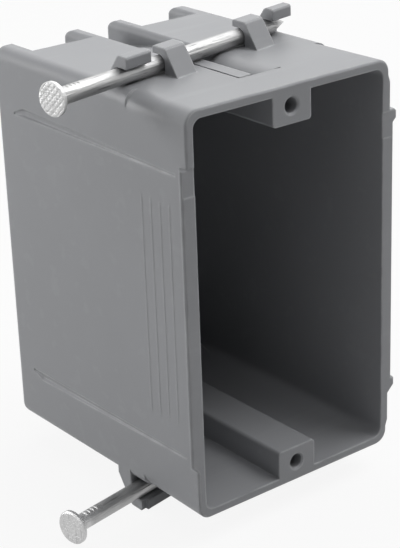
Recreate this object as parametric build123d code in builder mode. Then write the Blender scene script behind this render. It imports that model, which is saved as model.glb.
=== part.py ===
"""Single-gang nail-on switch box: one plastic moulding and the two nails it carries.

Millimetres. X runs along the wall face towards the stud, Y runs into the wall, Z is up.
The origin is on the front rim, midway between the two device screw holes.
"""

import os
from math import cos, radians, sin, tan

from build123d import *

# Shell of the box, outside sizes across the front rim
box_width = 56.0
box_height = 92.7
box_depth = 71.0
side_wall = 1.9
end_wall = 2.0
rear_wall = 2.2
rim_corner_radius = 3.2
front_corner_radius = 4.0
rear_corner_radius = 2.9
zone_start = 20.0
rear_edge_radius = 2.0
rim_bevel = 0.4
inner_corner_radius = 2.2
cavity_taper = 0.4

# Flange beside the rim of both side walls, slanted at its lower end, stepped at its upper one
flange_raise = 1.45
flange_land = 0.7
flange_length = 2.6
flange_margin = 12.0
flange_slant = 1.6
pad_height = 5.9
pad_step = 0.15

# Low rail that carries the flange on towards the corners of the stud side
rail_raise = 0.55
rail_margin = 3.9
rail_slant = 1.6

# Grooves along the side walls, fading out towards the rim and, quickly, at the rear
groove_margin = 14.4
groove_front = 4.0
groove_rear = 60.0
groove_fade = 3.5
groove_width = 2.0
groove_depth = 0.6
groove_end_width = 0.6
groove_end_depth = 0.15

# Lugs beside the front rim that bear on the stud
upper_lug_margin = 11.75
lower_lug_margin = 16.15
lug_reach = 2.4
lug_corner = 0.6
lug_crest = 2.2
lug_ramp = 2.3
lug_length = 17.0

# Depth marks on the wall away from the stud
mark_first = 6.35
mark_pitch = 3.175
mark_count = 4
mark_length = 50.0
mark_width = 0.4
mark_height = 0.04

# Device screw holes and the bars that hold them
screw_margin = 4.68
screw_radius = 1.7
screw_depth = 10.5
screw_bevel = 0.4
bar_width = 10.5
bar_below_screw = 3.9
bar_edge_radius = 0.8

# Hollow in the front of each end wall, beside a strip that slits mark off
pocket_left = 1.2
pocket_right = 6.4
pocket_start = 11.3
pocket_length = 18.5
pocket_depth = 6.0
strip_width = 3.5
slit_width = 0.5
slit_depth = 0.5

# Cable entries at the rear: two ramps beside a deeper middle trough
trough_width = 8.6
trough_start = 37.0
trough_drop = 6.3
rib_width = 3.7
rib_edge_radius = 1.8
rib_edge_sweep = 68.0
ramp_width = 14.5
ramp_start = 60.5
ramp_drop = 3.2
ramp_wall = 2.0

# Nails
nail_diameter = 3.76
nail_length = 74.5
nail_angle = 10.6
nail_middle = 28.7
nail_gap = 0.15
upper_head_diameter = 7.3
lower_head_diameter = 7.8
head_thickness = 1.3
head_edge = 0.3
head_cone = 0.9
point_length = 6.0
upper_head_reach = 17.8
lower_head_reach = 20.7
check_pitch = 1.05
check_depth = 0.2
grip_first = 4.2
grip_pitch = 1.1
grip_count = 4
grip_depth = 0.2

# Half-hooks round each nail, measured outwards from the nail's bore
bore_gap = 0.15
hook_bevel = 0.4
front_hook_starts = (-14.4, 11.5)
front_hook_width = 6.2
front_hook_roof = 1.6
front_hook_lip = 0.1
front_hook_crest = 0.0
front_hook_foot = 4.3
left_hook_inset = 1.4
left_hook_width = 7.6
right_hook_inset = 1.0
right_hook_width = 6.4
end_hook_roof = 2.6
end_hook_lip = 0.9
end_hook_crest = -2.0
end_hook_foot = 3.0
lower_hook_width = 9.0
lower_hook_lip = 0.0
lower_hook_crest = 0.2
lower_hook_foot = 4.7

# Places worked out from the sizes above
half_width = box_width / 2
half_height = box_height / 2
wall_middle_x = half_width - side_wall / 2
flange_z = half_height - flange_margin
groove_z = half_height - groove_margin
rail_z = half_height - rail_margin
upper_lug_top = half_height - upper_lug_margin
lower_lug_top = lower_lug_margin - half_height
inner_depth = box_depth - rear_wall
screw_z = half_height - screw_margin
bar_z = screw_z - bar_below_screw
rib_outer = trough_width / 2 + rib_width
ramp_outer = rib_outer + ramp_width
rib_edge_z = half_height - rib_edge_radius * sin(radians(rib_edge_sweep))
nail_radius = nail_diameter / 2
nail_z = half_height + nail_radius + nail_gap
bore_radius = nail_radius + bore_gap
nail_slope = tan(radians(nail_angle))
nail_direction = Vector(cos(radians(nail_angle)), sin(radians(nail_angle)), 0)
cut_over = 1.0


def nail_y(x):
    """Depth of the nails' line at a place across the box."""
    return nail_middle + nail_slope * x


def hook_profile(start_x, facing, roof, lip, crest, foot):
    """Section of a half-hook: facing 1 opens to the rear, facing -1 opens to the front."""
    y = nail_y(start_x)
    roof_z = nail_z + bore_radius + roof
    root_z = half_height - rear_corner_radius
    bore_y = y - facing * bore_radius
    with BuildSketch(Plane.YZ.offset(start_x)) as profile:
        with BuildLine():
            Polyline(
                (bore_y, nail_z),
                (bore_y, root_z),
                (bore_y - facing * foot, root_z),
                (bore_y - facing * foot, half_height),
                (bore_y - facing * crest, roof_z),
                (y + facing * (bore_radius + lip), roof_z),
                (y + facing * (bore_radius + lip), nail_z + bore_radius),
                (y, nail_z + bore_radius),
            )
            CenterArc((y, nail_z), bore_radius, 90 if facing > 0 else 0, 90)
        make_face()
        chamfer(profile.vertices().group_by(Axis.Y)[-1], hook_bevel)
    return profile.sketch


os.makedirs("parts", exist_ok=True)

# Box moulding: the upper half is modelled and mirrored about the middle
with BuildPart() as box_body:
    # Front zone, whose corners open out from the rim, and the rear zone with tighter corners
    with BuildSketch(Plane.XZ):
        RectangleRounded(box_width, box_height, rim_corner_radius)
    with BuildSketch(Plane.XZ.offset(-zone_start)):
        RectangleRounded(box_width, box_height, front_corner_radius)
    loft(ruled=True)
    with BuildSketch(Plane.XZ.offset(-zone_start)):
        RectangleRounded(box_width, box_height, rear_corner_radius)
    extrude(amount=zone_start - box_depth)
    fillet(box_body.faces().sort_by(Axis.Y)[-1].outer_wire().edges(), rear_edge_radius)

    # Grooves along the side walls
    for side in (-1, 1):
        for place, width, depth in (
            (groove_front, groove_end_width, groove_end_depth),
            (groove_rear, groove_width, groove_depth),
            (groove_rear + groove_fade, groove_end_width, groove_end_depth),
        ):
            with BuildSketch(Plane.XZ.offset(-place)):
                with BuildLine():
                    Polyline(
                        (side * (half_width + cut_over), groove_z),
                        (side * half_width, groove_z),
                        (side * (half_width - depth), groove_z + depth / 2),
                        (side * (half_width - depth), groove_z + width - depth),
                        (side * half_width, groove_z + width),
                        (side * (half_width + cut_over), groove_z + width),
                        close=True,
                    )
                make_face()
        loft(ruled=True, mode=Mode.SUBTRACT)

    # Depth marks on the left wall
    with BuildSketch(Plane.YZ.offset(-half_width)):
        with Locations((mark_first + mark_pitch * (mark_count - 1) / 2, 0)):
            with GridLocations(mark_pitch, mark_pitch, mark_count, 1):
                Rectangle(mark_width, mark_length)
    extrude(amount=-mark_height)

    # Half-hooks over the nail: two open to the rear, and one at each end opens to the front
    for start_x in front_hook_starts:
        section = hook_profile(
            start_x, 1, front_hook_roof, front_hook_lip, front_hook_crest, front_hook_foot
        )
        extrude(section, amount=front_hook_width, dir=nail_direction)
    for start_x, width in (
        (-half_width + left_hook_inset, left_hook_width),
        (half_width - right_hook_inset - right_hook_width, right_hook_width),
    ):
        section = hook_profile(
            start_x, -1, end_hook_roof, end_hook_lip, end_hook_crest, end_hook_foot
        )
        extrude(section, amount=width, dir=nail_direction)

    # Cavity, tapered so that the core draws out of the front
    with BuildSketch(Plane.XZ):
        RectangleRounded(box_width - 2 * side_wall, box_height - 2 * end_wall, inner_corner_radius)
    core = extrude(amount=-inner_depth, taper=cavity_taper, mode=Mode.SUBTRACT)

    # Bar that holds the device screw, from the rim to the rear wall
    with BuildSketch(Plane.XZ) as bar:
        with Locations((0, bar_z)):
            Rectangle(bar_width, half_height - end_wall / 2 - bar_z, align=(Align.CENTER, Align.MIN))
        fillet(bar.vertices().group_by(Axis.Y)[0], bar_edge_radius)
    extrude(amount=-(box_depth - rear_wall / 2))

    # Thickened wall under the ramps
    with BuildSketch(Plane.YZ):
        with BuildLine():
            Polyline(
                (ramp_start, half_height - end_wall / 2),
                (ramp_start, half_height - ramp_wall),
                (box_depth - rear_wall / 2, half_height - ramp_wall - ramp_drop),
                (box_depth - rear_wall / 2, half_height - end_wall / 2),
                close=True,
            )
        make_face()
    extrude(amount=ramp_outer + ramp_wall, both=True)

    # Ramps and trough, open at the top and the rear: a channel that rounds the ribs beside it,
    # down to a sloping floor
    for middle_x, width, start_y, drop in (
        (-(rib_outer + ramp_outer) / 2, ramp_width, ramp_start, ramp_drop),
        ((rib_outer + ramp_outer) / 2, ramp_width, ramp_start, ramp_drop),
        (0, trough_width, trough_start, trough_drop),
    ):
        slope = drop / (box_depth - start_y)
        left_x = middle_x - width / 2
        right_x = middle_x + width / 2
        with BuildSketch(Plane.YZ.offset(middle_x)):
            with BuildLine():
                Polyline(
                    (start_y - cut_over / slope, half_height + cut_over),
                    (box_depth + cut_over, half_height + cut_over),
                    (box_depth + cut_over, half_height - drop - cut_over * slope),
                    close=True,
                )
            make_face()
        wedge = extrude(amount=width, both=True, mode=Mode.PRIVATE)
        with BuildSketch(Plane.XZ.offset(cut_over - start_y)):
            with BuildLine():
                left_edge = CenterArc(
                    (left_x - rib_edge_radius, rib_edge_z), rib_edge_radius, 0, rib_edge_sweep
                )
                right_edge = CenterArc(
                    (right_x + rib_edge_radius, rib_edge_z), rib_edge_radius, 180, -rib_edge_sweep
                )
                Polyline(
                    left_edge @ 0,
                    (left_x, half_height - drop - cut_over),
                    (right_x, half_height - drop - cut_over),
                    right_edge @ 0,
                )
                Polyline(
                    left_edge @ 1,
                    left_edge @ 1 + (0, cut_over),
                    right_edge @ 1 + (0, cut_over),
                    right_edge @ 1,
                )
            make_face()
        channel = extrude(amount=start_y - box_depth - 2 * cut_over, mode=Mode.PRIVATE)
        add(channel & wedge, mode=Mode.SUBTRACT)

    # Hollow in front of the nail, with a steep left side and a round right one
    with BuildSketch(Plane.XZ.offset(-pocket_start)):
        with BuildLine():
            TangentArc(
                (pocket_right, half_height),
                (-pocket_left, half_height - pocket_depth),
                tangent=(-1, 0),
            )
            Polyline(
                (-pocket_left, half_height - pocket_depth),
                (-pocket_left, half_height + cut_over),
                (pocket_right, half_height + cut_over),
                (pocket_right, half_height),
            )
        make_face()
    extrude(amount=-pocket_length, mode=Mode.SUBTRACT)

    # Slits beside the strip and across the front of the hollow
    with BuildSketch(Plane.XY.offset(half_height - slit_depth)):
        with Locations((-pocket_left - strip_width, pocket_start)):
            Rectangle(slit_width, pocket_length, align=(Align.MAX, Align.MIN))
        with Locations((-pocket_left - strip_width - slit_width, pocket_start)):
            Rectangle(
                pocket_left + strip_width + slit_width + pocket_right,
                slit_width,
                align=(Align.MIN, Align.MAX),
            )
    extrude(amount=slit_depth + cut_over, mode=Mode.SUBTRACT)

    # Device screw hole
    with Locations(Plane.XZ):
        with Locations((0, screw_z)):
            CounterSinkHole(screw_radius, screw_radius + screw_bevel, screw_depth, 90)

    split(bisect_by=Plane.XY, keep=Keep.TOP)
    mirror(about=Plane.XY)

    # Wider left hook under the box, flush with the wall
    section = hook_profile(
        -half_width, -1, end_hook_roof, lower_hook_lip, lower_hook_crest, lower_hook_foot
    )
    lower_hook = extrude(section, amount=lower_hook_width, dir=nail_direction, mode=Mode.PRIVATE)
    add(mirror(lower_hook, about=Plane.XY, mode=Mode.PRIVATE) - core)

    # Flange: its flare towards the rim, within its outline seen from the front
    with BuildSketch(Plane.XY):
        with BuildLine():
            Polyline(
                (wall_middle_x, 0),
                (half_width + flange_raise, 0),
                (half_width + flange_raise, flange_land),
                (half_width, flange_length),
                (wall_middle_x, flange_length),
                close=True,
            )
        make_face()
        mirror(about=Plane.YZ)
    flare = extrude(amount=flange_z, both=True, mode=Mode.PRIVATE)
    with BuildSketch(Plane.XZ):
        with BuildLine():
            Polyline(
                (wall_middle_x, -flange_z),
                (half_width, -flange_z),
                (half_width + flange_raise, flange_slant - flange_z),
                (half_width + flange_raise, flange_z),
                (wall_middle_x, flange_z),
                close=True,
            )
        make_face()
        mirror(about=Plane.YZ)
    outline = extrude(amount=-flange_length, mode=Mode.PRIVATE)
    add(flare & outline)

    # Rail on the stud side
    with BuildSketch(Plane.XZ):
        with BuildLine():
            Polyline(
                (wall_middle_x, -rail_z),
                (half_width, -rail_z),
                (half_width + rail_raise, rail_slant - rail_z),
                (half_width + rail_raise, rail_z - rail_slant),
                (half_width, rail_z),
                (wall_middle_x, rail_z),
                close=True,
            )
        make_face()
    extrude(amount=-flange_length)

    # Stud lugs, both with their slope below
    for top_z in (upper_lug_top, lower_lug_top):
        with BuildSketch(Plane.XZ):
            with BuildLine():
                Polyline(
                    (wall_middle_x, top_z),
                    (half_width + lug_reach - lug_corner, top_z),
                    (half_width + lug_reach, top_z - lug_corner),
                    (half_width + lug_reach, top_z - lug_crest),
                    (half_width, top_z - lug_crest - lug_ramp),
                    (wall_middle_x, top_z - lug_crest - lug_ramp),
                    close=True,
                )
            make_face()
        extrude(amount=-lug_length)
    chamfer(box_body.faces().sort_by(Axis.Y)[0].outer_wire().edges(), rim_bevel)

    # Step in the front of the flange's upper end
    with BuildSketch(Plane.XZ):
        for side in (-1, 1):
            with Locations((side * half_width, flange_z)):
                Rectangle(2 * (lug_reach + cut_over), pad_height, align=(Align.CENTER, Align.MAX))
    extrude(amount=-pad_step, mode=Mode.SUBTRACT)

box_body.part.label = "box_body"
export_step(box_body.part, "parts/box_body.step")

# Nails: the upper head is checkered, the lower one plain and set further out
for name, side, head_reach, head_diameter, checkered in (
    ("upper_nail", 1, upper_head_reach, upper_head_diameter, True),
    ("lower_nail", -1, lower_head_reach, lower_head_diameter, False),
):
    head_x = -half_width - head_reach
    start = Vector(head_x, nail_y(head_x), side * nail_z)
    flat_frame = Plane(origin=start, x_dir=nail_direction, z_dir=(0, 0, 1))
    upright_frame = Plane(origin=start, x_dir=nail_direction, z_dir=flat_frame.y_dir)
    slants = (
        (flat_frame.z_dir + flat_frame.y_dir).normalized(),
        (flat_frame.z_dir - flat_frame.y_dir).normalized(),
    )
    head_radius = head_diameter / 2
    with BuildPart() as nail:
        # Turned form of head and shank
        with BuildSketch(flat_frame):
            with BuildLine():
                Polyline(
                    (0, 0),
                    (0, head_radius - head_edge),
                    (head_edge, head_radius),
                    (head_thickness - head_edge, head_radius),
                    (head_thickness, head_radius - head_edge),
                    (head_thickness + head_cone, nail_radius),
                    (nail_length, nail_radius),
                    (nail_length, 0),
                    close=True,
                )
            make_face()
        revolve(axis=Axis(start, nail_direction))

        # Four flats of the point
        tip = start + nail_direction * nail_length
        for slant in slants:
            for across in (slant, -slant):
                flat_normal = across * point_length + nail_direction * nail_radius
                split(bisect_by=Plane(origin=tip, z_dir=flat_normal), keep=Keep.BOTTOM)

        # Nicks that the gripper dies leave behind the head
        with BuildSketch(upright_frame):
            for nick in range(grip_count):
                for edge in (-1, 1):
                    with Locations((grip_first + nick * grip_pitch, edge * nail_radius)):
                        Rectangle(2 * grip_depth, 2 * grip_depth, rotation=45)
        extrude(amount=nail_radius, both=True, mode=Mode.SUBTRACT)

        # Crossed grooves of the checkered face
        if checkered:
            rows = 2 * int((head_radius - head_edge) / check_pitch) + 1
            for slant in slants:
                with BuildSketch(Plane(origin=start, x_dir=nail_direction, z_dir=slant)):
                    with GridLocations(check_pitch, check_pitch, 1, rows):
                        Rectangle(2 * check_depth, 2 * check_depth, rotation=45)
                extrude(amount=head_radius, both=True, mode=Mode.SUBTRACT)
    nail.part.label = name
    export_step(nail.part, f"parts/{name}.step")
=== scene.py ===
"""Studio picture of a nail-on switch box: its finishes, floor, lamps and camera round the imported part."""

import logging
from dataclasses import dataclass
from enum import Enum
from math import cos, radians, sin
from typing import Union

import bpy
from mathutils import Matrix, Vector


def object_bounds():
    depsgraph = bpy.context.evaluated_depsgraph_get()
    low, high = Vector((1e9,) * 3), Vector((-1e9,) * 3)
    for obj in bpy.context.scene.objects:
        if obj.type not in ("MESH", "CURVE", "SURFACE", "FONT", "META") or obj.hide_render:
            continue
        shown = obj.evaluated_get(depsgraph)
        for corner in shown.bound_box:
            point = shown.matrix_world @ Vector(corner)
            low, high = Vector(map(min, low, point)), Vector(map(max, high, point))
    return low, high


Colour = tuple[float, float, float, float]
Point = tuple[float, float, float]
Feed = Union[float, Colour, Point, bpy.types.NodeSocket]

LOG = logging.getLogger("switch_box")
MM = 0.001
WHITE = (1.0, 1.0, 1.0, 1.0)
EDGE_SAMPLES = 6

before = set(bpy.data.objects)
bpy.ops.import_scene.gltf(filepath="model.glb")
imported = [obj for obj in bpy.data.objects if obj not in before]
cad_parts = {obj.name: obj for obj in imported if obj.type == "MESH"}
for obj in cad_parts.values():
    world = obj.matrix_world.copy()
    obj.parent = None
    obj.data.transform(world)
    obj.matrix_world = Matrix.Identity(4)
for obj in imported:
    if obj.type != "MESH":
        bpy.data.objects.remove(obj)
cad_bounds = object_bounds()


class Layer(Enum):
    """Shader effects that more than one finish uses."""

    MOTTLE = "mottle"
    GRAIN = "grain"
    SCUFF = "scuff"
    EDGE = "edge"


class NodeSheet:
    """A shader node tree with short calls that place and join nodes."""

    # A mix node's colour sockets, which come after those for numbers and vectors
    MIX_SHARE = 0
    MIX_FIRST = 6
    MIX_SECOND = 7
    MIX_RESULT = 2

    def __init__(self, tree: bpy.types.NodeTree) -> None:
        """Hold the tree that the nodes go into."""
        self.tree = tree

    def add(self, kind: str, inputs: dict[str | int, Feed], **settings: object) -> bpy.types.Node:
        """Place a node, set its properties and feed its sockets.

        Args:
            kind: Blender's name for the node type.
            inputs: Socket name or number to a plain value, or to the socket that feeds it.
            settings: Properties of the node itself.

        Returns:
            The new node.
        """
        node = self.tree.nodes.new(kind)
        for name, value in settings.items():
            setattr(node, name, value)
        for socket, value in inputs.items():
            if isinstance(value, bpy.types.NodeSocket):
                self.tree.links.new(value, node.inputs[socket])
            else:
                node.inputs[socket].default_value = value
        return node

    def maths(self, operation: str, *values: Feed) -> bpy.types.NodeSocket:
        """Join two or three numbers by one maths operation.

        Args:
            operation: Name of the operation, such as MULTIPLY.
            values: Numbers or sockets, in the operation's order.

        Returns:
            The socket that holds the result.
        """
        node = self.add("ShaderNodeMath", dict(enumerate(values)), operation=operation)
        return node.outputs[0]

    def ramp(self, value: bpy.types.NodeSocket, low: float, high: float) -> bpy.types.NodeSocket:
        """Spread a value smoothly from 0 at low to 1 at high.

        Args:
            value: Socket to spread.
            low: Value that becomes 0.
            high: Value that becomes 1.

        Returns:
            The socket that holds the result.
        """
        node = self.add(
            "ShaderNodeMapRange",
            {"Value": value, "From Min": low, "From Max": high},
            interpolation_type="SMOOTHSTEP",
        )
        return node.outputs["Result"]

    def blend(self, share: Feed, first: Feed, second: Feed) -> bpy.types.NodeSocket:
        """Mix two colours.

        Args:
            share: How much of the second colour shows.
            first: First colour or socket.
            second: Second colour or socket.

        Returns:
            The socket that holds the mixed colour.
        """
        inputs = {self.MIX_SHARE: share, self.MIX_FIRST: first, self.MIX_SECOND: second}
        node = self.add("ShaderNodeMix", inputs, data_type="RGBA")
        return node.outputs[self.MIX_RESULT]

    def noise(self, place: bpy.types.NodeSocket, scale: Feed, detail: float) -> bpy.types.NodeSocket:
        """Place a noise texture.

        Args:
            place: Socket with the place on the surface.
            scale: How fine the noise is.
            detail: How many finer layers it has.

        Returns:
            The socket that holds the noise, from 0 to 1.
        """
        node = self.add("ShaderNodeTexNoise", {"Vector": place, "Scale": scale, "Detail": detail})
        return node.outputs["Fac"]

    def mapped(self, place: bpy.types.NodeSocket, **changes: Point) -> bpy.types.NodeSocket:
        """Turn or stretch the place on the surface.

        Args:
            place: Socket with the place on the surface.
            changes: Rotation or Scale of the mapping.

        Returns:
            The socket that holds the new place.
        """
        return self.add("ShaderNodeMapping", {"Vector": place, **changes}).outputs[0]


@dataclass(frozen=True)
class SurfaceLayers:
    """Shared shader node groups: slow changes of tone, fine grain, fine scuffs, and paler edges that are
    partly wear and partly a painted edge highlight.

    Each low and high pair is the part of a value's range that is spread from 0 to 1.
    """

    mottle_detail: float = 4.0
    mottle_low: float = 0.3
    mottle_high: float = 0.7
    grain_detail: float = 3.0
    scuff_stretch: float = 14.0
    scuff_detail: float = 2.0
    scuff_low: float = 0.58
    scuff_high: float = 0.7
    edge_low: float = 0.005
    edge_high: float = 0.08
    patch_scale: float = 160.0
    patch_detail: float = 2.0
    patch_low: float = 0.2
    patch_high: float = 0.7

    def build(self) -> None:
        """Make the groups that the finishes place in their materials."""
        self.build_mottle()
        self.build_grain()
        self.build_scuff()
        self.build_edge()

    def new_group(
        self, layer: Layer, inputs: tuple[str, ...], output: str
    ) -> tuple[NodeSheet, bpy.types.Node]:
        """Start a node group with a vector, some numbers and one output.

        Args:
            layer: Which effect the group holds.
            inputs: Names of the group's number inputs.
            output: Name of the group's output.

        Returns:
            A sheet on the new group, and the node that holds its inputs.
        """
        tree = bpy.data.node_groups.new(layer.value, "ShaderNodeTree")
        tree.interface.new_socket("Vector", in_out="INPUT", socket_type="NodeSocketVector")
        for name in inputs:
            tree.interface.new_socket(name, in_out="INPUT", socket_type="NodeSocketFloat")
        tree.interface.new_socket(output, in_out="OUTPUT", socket_type="NodeSocketFloat")
        sheet = NodeSheet(tree)
        return sheet, sheet.add("NodeGroupInput", {})

    def build_mottle(self) -> None:
        """Slow, cloudy changes of tone over the surface, from 0 to 1."""
        sheet, given = self.new_group(Layer.MOTTLE, ("Scale",), "Tone")
        cloud = sheet.noise(given.outputs["Vector"], given.outputs["Scale"], self.mottle_detail)
        tone = sheet.ramp(cloud, self.mottle_low, self.mottle_high)
        sheet.add("NodeGroupOutput", {"Tone": tone})

    def build_grain(self) -> None:
        """Fine height of a moulded or drawn surface, from 0 to 1."""
        sheet, given = self.new_group(Layer.GRAIN, ("Scale",), "Height")
        grain = sheet.noise(given.outputs["Vector"], given.outputs["Scale"], self.grain_detail)
        sheet.add("NodeGroupOutput", {"Height": grain})

    def build_scuff(self) -> None:
        """Thin broken lines along the vector's first direction, from 0 to Amount."""
        sheet, given = self.new_group(Layer.SCUFF, ("Scale", "Amount"), "Mask")
        stretched = sheet.add(
            "ShaderNodeVectorMath",
            {0: given.outputs["Vector"], 1: (1 / self.scuff_stretch, 1.0, 1.0)},
            operation="MULTIPLY",
        )
        lines = sheet.noise(stretched.outputs[0], given.outputs["Scale"], self.scuff_detail)
        thin = sheet.ramp(lines, self.scuff_low, self.scuff_high)
        mask = sheet.maths("MULTIPLY", thin, given.outputs["Amount"])
        sheet.add("NodeGroupOutput", {"Mask": mask})

    def build_edge(self) -> None:
        """Patchy mask of the outer and inner edges, from 0 on a flat face to Amount on an edge; the paler
        colour it brings is partly wear and partly a painted highlight along the edges.
        """
        sheet, given = self.new_group(Layer.EDGE, ("Radius", "Amount"), "Mask")
        rounded = sheet.add("ShaderNodeBevel", {"Radius": given.outputs["Radius"]}, samples=EDGE_SAMPLES)
        flat = sheet.add("ShaderNodeNewGeometry", {})
        along = sheet.add(
            "ShaderNodeVectorMath",
            {0: rounded.outputs[0], 1: flat.outputs["Normal"]},
            operation="DOT_PRODUCT",
        )
        turn = sheet.maths("SUBTRACT", 1.0, along.outputs["Value"])
        # Edge mask: the pale colour it carries stands partly for wear and partly for a painted highlight on
        # the edges.
        worn_and_highlit = sheet.ramp(turn, self.edge_low, self.edge_high)
        cloud = sheet.noise(given.outputs["Vector"], self.patch_scale, self.patch_detail)
        patchy = sheet.ramp(cloud, self.patch_low, self.patch_high)
        shown = sheet.maths("MULTIPLY", worn_and_highlit, patchy)
        mask = sheet.maths("MULTIPLY", shown, given.outputs["Amount"])
        sheet.add("NodeGroupOutput", {"Mask": mask})


def blank_material(name: str) -> tuple[NodeSheet, bpy.types.Material]:
    """Make a material with no nodes in it yet.

    Args:
        name: Name of the material.

    Returns:
        A sheet on its nodes, and the material.
    """
    material = bpy.data.materials.new(name)
    material.use_nodes = True
    material.node_tree.nodes.clear()
    return NodeSheet(material.node_tree), material


class Finish:
    """Common steps of every finish: the shared layers, and one shader with edges that look rounded."""

    roughness: float
    roughness_swing: float
    edge_radius: float
    relief_strength: float
    relief_depth: float

    def layer(
        self, sheet: NodeSheet, layer: Layer, place: bpy.types.NodeSocket, **values: float
    ) -> bpy.types.NodeSocket:
        """Place a shared layer in a material.

        Args:
            sheet: Sheet of the material.
            layer: Which shared layer.
            place: Socket with the place on the surface.
            values: The layer's own numbers, by the names of its inputs.

        Returns:
            The layer's output.
        """
        group = bpy.data.node_groups[layer.value]
        node = sheet.add("ShaderNodeGroup", {"Vector": place, **values}, node_tree=group)
        return node.outputs[0]

    def cover(
        self,
        sheet: NodeSheet,
        colour: bpy.types.NodeSocket,
        tone: bpy.types.NodeSocket,
        relief: bpy.types.NodeSocket,
    ) -> bpy.types.Node:
        """Place the shader with its colour, roughness and fine relief.

        Args:
            sheet: Sheet of the material.
            colour: Colour over the surface.
            tone: Slow change from 0 to 1 that the roughness follows.
            relief: Fine height from 0 to 1.

        Returns:
            The shader.
        """
        rounded = sheet.add("ShaderNodeBevel", {"Radius": self.edge_radius}, samples=EDGE_SAMPLES)
        bump = sheet.add(
            "ShaderNodeBump",
            {
                "Strength": self.relief_strength,
                "Distance": self.relief_depth,
                "Height": relief,
                "Normal": rounded.outputs[0],
            },
        )
        rough = sheet.maths("MULTIPLY_ADD", tone, self.roughness_swing, self.roughness)
        shader = sheet.add(
            "ShaderNodeBsdfPrincipled",
            {"Base Color": colour, "Roughness": rough, "Normal": bump.outputs[0]},
        )
        sheet.add("ShaderNodeOutputMaterial", {"Surface": shader.outputs[0]})
        return shader


@dataclass(frozen=True)
class MouldedPlastic(Finish):
    """Satin grey moulded plastic with faint flow clouds, fine grain, scuffs and paler edges, which are
    partly wear and partly a painted edge highlight.
    """

    name: str = "grey_moulded_plastic"
    deep: Colour = (0.264, 0.269, 0.281, 1.0)
    pale: Colour = (0.284, 0.289, 0.302, 1.0)
    scuffed: Colour = (0.319, 0.324, 0.338, 1.0)
    # Paler edge colour: partly wear, partly a painted highlight along the edges.
    worn_and_highlit: Colour = (0.498, 0.505, 0.522, 1.0)
    specular: float = 0.4
    roughness: float = 0.42
    roughness_swing: float = 0.12
    cloud_scale: float = 28.0
    scuff_scale: float = 260.0
    scuff_amount: float = 0.25
    edge_radius: float = 0.65 * MM
    edge_amount: float = 0.85
    grain_scale: float = 2600.0
    relief_strength: float = 0.06
    relief_depth: float = 0.1 * MM

    def material(self) -> bpy.types.Material:
        """Make the plastic's material."""
        sheet, material = blank_material(self.name)
        place = sheet.add("ShaderNodeTexCoord", {}).outputs["Object"]
        tone = self.layer(sheet, Layer.MOTTLE, place, Scale=self.cloud_scale)
        scuff = self.layer(sheet, Layer.SCUFF, place, Scale=self.scuff_scale, Amount=self.scuff_amount)
        grain = self.layer(sheet, Layer.GRAIN, place, Scale=self.grain_scale)
        edge = self.layer(sheet, Layer.EDGE, place, Radius=self.edge_radius, Amount=self.edge_amount)
        clean = sheet.blend(tone, self.deep, self.pale)
        body = sheet.blend(scuff, clean, self.scuffed)
        # Paler edges: partly wear, partly a painted edge highlight.
        colour = sheet.blend(edge, body, self.worn_and_highlit)
        shader = self.cover(sheet, colour, tone, grain)
        shader.inputs["Specular IOR Level"].default_value = self.specular
        return material


@dataclass(frozen=True)
class DrawnSteel(Finish):
    """Satin drawn wire: streaks along the shank, pale edges that are partly polish and partly a painted
    highlight, and paler heads with upright scratches.

    The nails lie along X, turned about Z by the angle turn. The tone of the heads comes in between
    head_from and head_to, which are places along a nail.
    """

    name: str = "bright_nail_steel"
    bright: Colour = (0.4, 0.4, 0.4, 1.0)
    dull: Colour = (0.18, 0.18, 0.18, 1.0)
    struck: Colour = (0.54, 0.54, 0.54, 1.0)
    scratched: Colour = (0.34, 0.34, 0.34, 1.0)
    # Paler edge colour: partly polish, partly a painted highlight on the head's rim and other edges.
    polished_and_highlit: Colour = (0.68, 0.68, 0.68, 1.0)
    metallic: float = 1.0
    roughness: float = 0.38
    roughness_swing: float = 0.16
    turn: float = -10.6
    cloud_scale: float = 220.0
    line_scale: float = 2600.0
    line_amount: float = 0.7
    head_from: float = -38.5 * MM
    head_to: float = -40.5 * MM
    scratch_turn: float = 90.0
    scratch_scale: float = 1800.0
    scratch_amount: float = 0.5
    edge_radius: float = 0.3 * MM
    edge_amount: float = 0.5
    drawn: Point = (0.06, 1.0, 1.0)
    drawn_scale: float = 1500.0
    relief_strength: float = 1.0
    relief_depth: float = 0.25 * MM

    def material(self) -> bpy.types.Material:
        """Make the steel's material, with its streaks along the nails."""
        sheet, material = blank_material(self.name)
        place = sheet.add("ShaderNodeTexCoord", {}).outputs["Object"]
        along = sheet.mapped(place, Rotation=(0.0, 0.0, radians(self.turn)))
        stretched = sheet.mapped(along, Scale=self.drawn)
        upright = sheet.mapped(along, Rotation=(0.0, radians(self.scratch_turn), 0.0))
        tone = self.layer(sheet, Layer.MOTTLE, along, Scale=self.cloud_scale)
        lines = self.layer(sheet, Layer.SCUFF, along, Scale=self.line_scale, Amount=self.line_amount)
        drawn = self.layer(sheet, Layer.GRAIN, stretched, Scale=self.drawn_scale)
        scratch = self.layer(
            sheet, Layer.SCUFF, upright, Scale=self.scratch_scale, Amount=self.scratch_amount
        )
        edge = self.layer(sheet, Layer.EDGE, place, Radius=self.edge_radius, Amount=self.edge_amount)
        reach = sheet.add("ShaderNodeSeparateXYZ", {0: along}).outputs["X"]
        head = sheet.ramp(reach, self.head_from, self.head_to)
        shank = sheet.blend(lines, self.bright, self.dull)
        face = sheet.blend(scratch, self.struck, self.scratched)
        body = sheet.blend(head, shank, face)
        # Paler edges: partly polish, partly a painted edge highlight.
        colour = sheet.blend(edge, body, self.polished_and_highlit)
        shader = self.cover(sheet, colour, tone, drawn)
        shader.inputs["Metallic"].default_value = self.metallic
        return material


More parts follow.
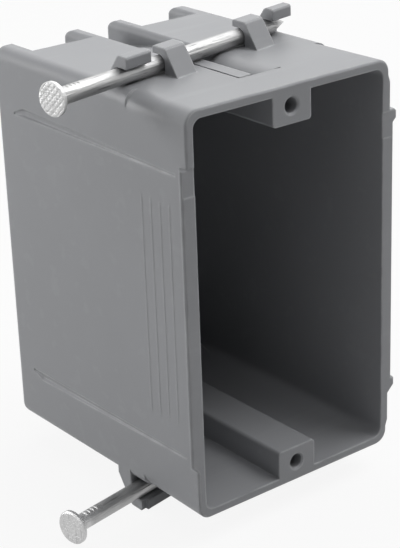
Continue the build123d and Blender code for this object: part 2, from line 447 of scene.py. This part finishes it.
def dress(node: str, material: bpy.types.Material) -> None:
    """Give a node of the frame its finish.

    Args:
        node: Name of the node.
        material: Finish that takes the node's only slot.
    """
    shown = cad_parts[node]
    shown.data.materials.clear()
    shown.data.materials.append(material)
    LOG.info("%s dressed in %s", node, material.name)


@dataclass
class SwitchBox:
    """The moulded box."""

    node: str = "box_body"
    finish: MouldedPlastic = MouldedPlastic()

    def build(self) -> None:
        """Dress the moulding."""
        dress(self.node, self.finish.material())


@dataclass
class Nails:
    """The two nails that the half-hooks carry."""

    nodes: tuple[str, ...] = ("upper_nail", "lower_nail")
    finish: DrawnSteel = DrawnSteel()

    def build(self) -> None:
        """Dress both nails in the same steel."""
        material = self.finish.material()
        for node in self.nodes:
            dress(node, material)


@dataclass
class Camera:
    """Camera at the photograph's angle: angles in degrees, lengths in millimetres, image sizes in pixels."""

    azimuth: float = -37.68
    elevation: float = 22.58
    roll: float = -2.11
    distance: float = 393.1
    middle: Point = (0.0, 35.0, 0.0)
    slide: float = 1.36
    lift: float = -6.14
    focal: float = 1703.4
    image_height: float = 548.0
    sensor: float = 36.0
    near: float = 10.0

    def build(self) -> None:
        """Place the camera and make it the scene's own."""
        turn, tilt, roll = radians(self.azimuth), radians(self.elevation), radians(self.roll)
        back = Vector((sin(turn) * cos(tilt), -cos(turn) * cos(tilt), sin(tilt)))
        level = (-back).cross(Vector((0, 0, 1))).normalized()
        upright = level.cross(-back)
        right = cos(roll) * level + sin(roll) * upright
        up = cos(roll) * upright - sin(roll) * level
        target = Vector(self.middle) + right * self.slide + up * self.lift
        data = bpy.data.cameras.new("camera")
        data.sensor_width = self.sensor
        data.lens = self.focal / self.image_height * self.sensor
        data.clip_start = self.near * MM
        camera = bpy.data.objects.new("camera", data)
        bpy.context.scene.collection.objects.link(camera)
        place = Matrix((right, up, back)).transposed().to_4x4()
        place.translation = (target + back * self.distance) * MM
        camera.matrix_world = place
        bpy.context.scene.camera = camera
        LOG.info("camera placed")


@dataclass(frozen=True)
class Lamp:
    """A soft square lamp that points at the middle of the box: lengths in metres, power in watts."""

    name: str
    place: Point
    size: float
    power: float
    aim: Point = (0.0, 0.035, 0.0)

    def build(self) -> None:
        """Place the lamp and turn it to the box."""
        data = bpy.data.lights.new(self.name, "AREA")
        data.size = self.size
        data.energy = self.power
        lamp = bpy.data.objects.new(self.name, data)
        bpy.context.scene.collection.objects.link(lamp)
        look = Vector(self.aim) - Vector(self.place)
        lamp.location = self.place
        lamp.rotation_euler = look.to_track_quat("-Z", "Y").to_euler()
        LOG.info("lamp %s placed", self.name)


@dataclass
class Studio:
    """Pale floor, white surroundings and soft lamps.

    The light from overhead comes in between the heights ceiling_low and ceiling_high of a direction.
    """

    floor_size: float = 6.0
    floor_gap: float = 0.1 * MM
    floor_colour: Colour = (0.65, 0.65, 0.65, 1.0)
    floor_clean: float = 0.9
    surround: float = 0.02
    ceiling: float = 0.08
    ceiling_low: float = 0.3
    ceiling_high: float = 0.9
    backdrop: float = 1.0
    lamps: tuple[Lamp, ...] = (
        Lamp("overhead", (0.42, 0.32, 0.75), 1.2, 7.0),
        Lamp("right_front", (0.4, -0.25, 0.8), 0.6, 4.2),
        Lamp("left_rear", (-0.65, 0.5, 0.13), 0.3, 1.75),
        Lamp("high_rear", (-0.5, 0.62, 0.26), 0.3, 1.6),
        Lamp("high_front", (-0.2, -0.35, 0.85), 0.6, 1.4),
    )

    def build(self) -> None:
        """Lay the floor, colour the surroundings and place the lamps."""
        self.lay_floor()
        self.colour_world()
        for lamp in self.lamps:
            lamp.build()
        bpy.context.scene.view_settings.view_transform = "Standard"

    def seen(self, sheet: NodeSheet) -> bpy.types.NodeSocket:
        """Tell where the surroundings are looked at, straight, through glass or in a reflection.

        Args:
            sheet: Sheet to place the nodes in.

        Returns:
            A socket that is 1 for such rays and 0 for others.
        """
        path = sheet.add("ShaderNodeLightPath", {})
        straight = sheet.maths(
            "MAXIMUM", path.outputs["Is Camera Ray"], path.outputs["Is Transmission Ray"]
        )
        return sheet.maths("MAXIMUM", straight, path.outputs["Is Glossy Ray"])

    def lay_floor(self) -> None:
        """Lay a pale floor under the lowest point, which keeps a light shadow."""
        low = cad_bounds[0]
        half = self.floor_size / 2
        mesh = bpy.data.meshes.new("floor")
        corners = [(-half, -half, 0), (half, -half, 0), (half, half, 0), (-half, half, 0)]
        mesh.from_pydata(corners, [], [(0, 1, 2, 3)])
        floor = bpy.data.objects.new("floor", mesh)
        floor.location = (0, 0, low.z - self.floor_gap)
        bpy.context.scene.collection.objects.link(floor)
        sheet, material = blank_material("pale_floor")
        matt = sheet.add("ShaderNodeBsdfDiffuse", {"Color": self.floor_colour})
        white = sheet.add("ShaderNodeEmission", {"Color": WHITE, "Strength": self.backdrop})
        share = sheet.maths("MULTIPLY", self.seen(sheet), self.floor_clean)
        surface = sheet.add("ShaderNodeMixShader", {0: share, 1: matt.outputs[0], 2: white.outputs[0]})
        sheet.add("ShaderNodeOutputMaterial", {"Surface": surface.outputs[0]})
        mesh.materials.append(material)
        LOG.info("floor laid")

    def colour_world(self) -> None:
        """Make the surroundings white to look at, with dim light from the sides and overhead."""
        world = bpy.data.worlds.new("studio")
        bpy.context.scene.world = world
        world.use_nodes = True
        world.node_tree.nodes.clear()
        sheet = NodeSheet(world.node_tree)
        look = sheet.add("ShaderNodeTexCoord", {}).outputs["Generated"]
        height = sheet.add("ShaderNodeSeparateXYZ", {0: look}).outputs["Z"]
        overhead = sheet.ramp(height, self.ceiling_low, self.ceiling_high)
        level = sheet.maths("MULTIPLY_ADD", overhead, self.ceiling, self.surround)
        backdrop = sheet.maths("MULTIPLY", self.seen(sheet), self.backdrop)
        strength = sheet.maths("MAXIMUM", level, backdrop)
        light = sheet.add("ShaderNodeBackground", {"Color": WHITE, "Strength": strength})
        sheet.add("ShaderNodeOutputWorld", {"Surface": light.outputs[0]})
        LOG.info("surroundings coloured")


def main() -> None:
    """Build the studio round the dressed box."""
    logging.basicConfig(level=logging.INFO, format="%(name)s: %(message)s")
    SurfaceLayers().build()
    SwitchBox().build()
    Nails().build()
    Studio().build()
    Camera().build()


if __name__ == "__main__":
    main()
